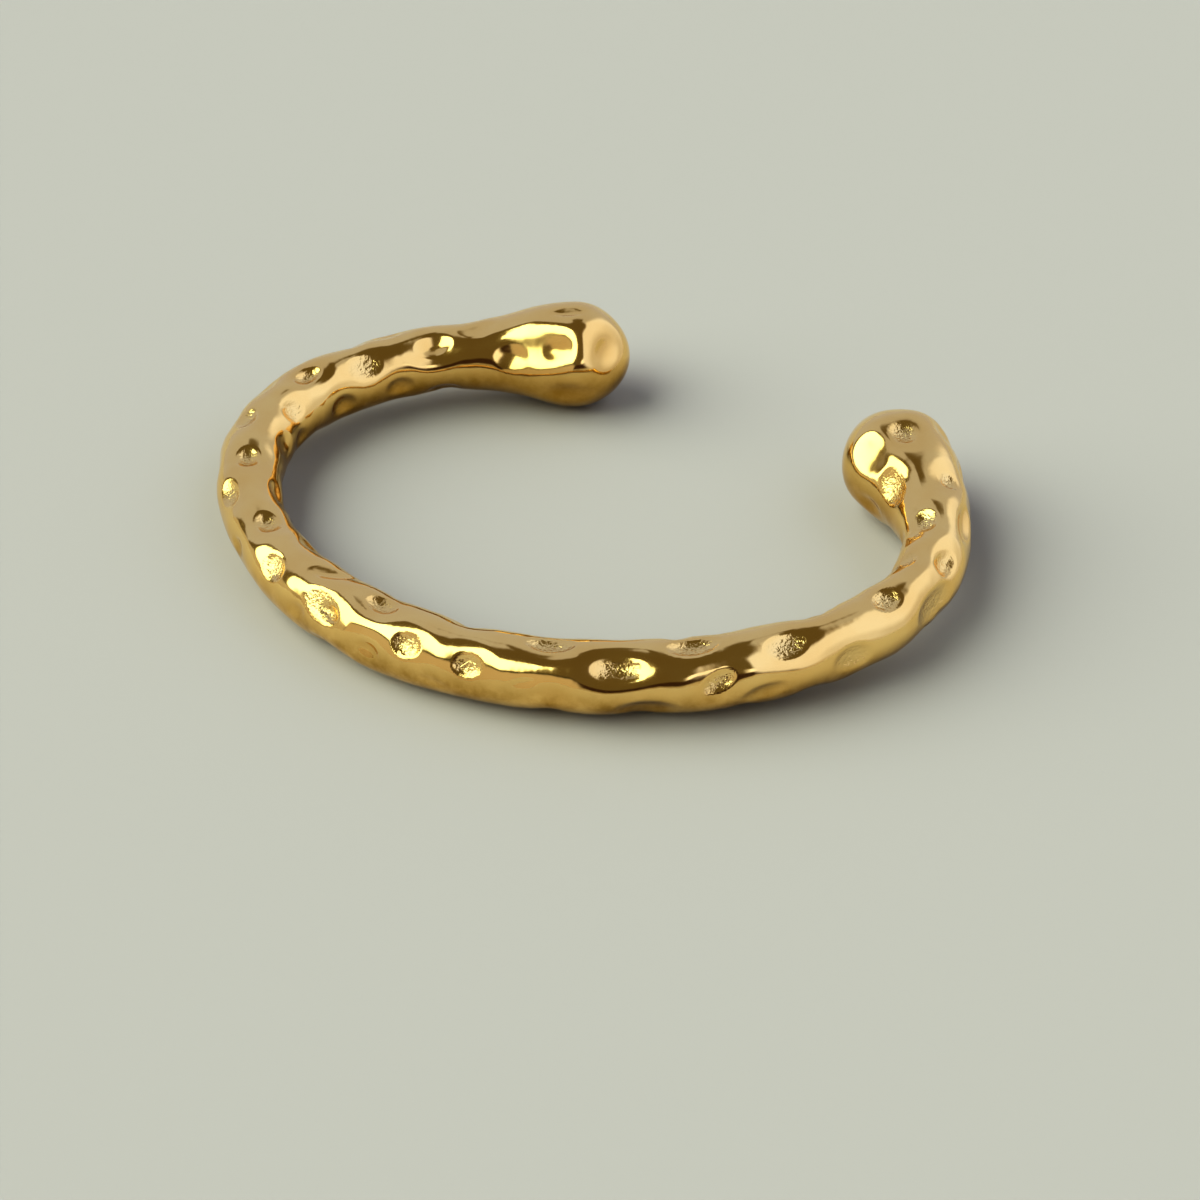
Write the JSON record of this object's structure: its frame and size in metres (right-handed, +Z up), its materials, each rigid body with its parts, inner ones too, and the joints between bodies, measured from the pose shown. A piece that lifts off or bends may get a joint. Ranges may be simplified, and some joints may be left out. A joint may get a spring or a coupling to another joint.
{
  "type": "open cuff bangle",
  "caption": "Open cuff bangle of polished gold-tone metal, a dimpled round rod with a swollen knob at each end.",
  "frame": {"origin": "on the surface that the bangle lies on, below the middle of its box", "axes": "+Z up out of the surface, +Y through the middle of the opening between the knobs, +X across the wrist from the left arm to the right arm"},
  "size_m": [0.0688, 0.0546, 0.0101],
  "materials": {
    "polished_gold": "gold-plated, mirror polished, with fine granular floors in some dimples"
  },
  "bodies": {
    "root": {"cuff": "polished_gold"}
  },
  "joints": []
}
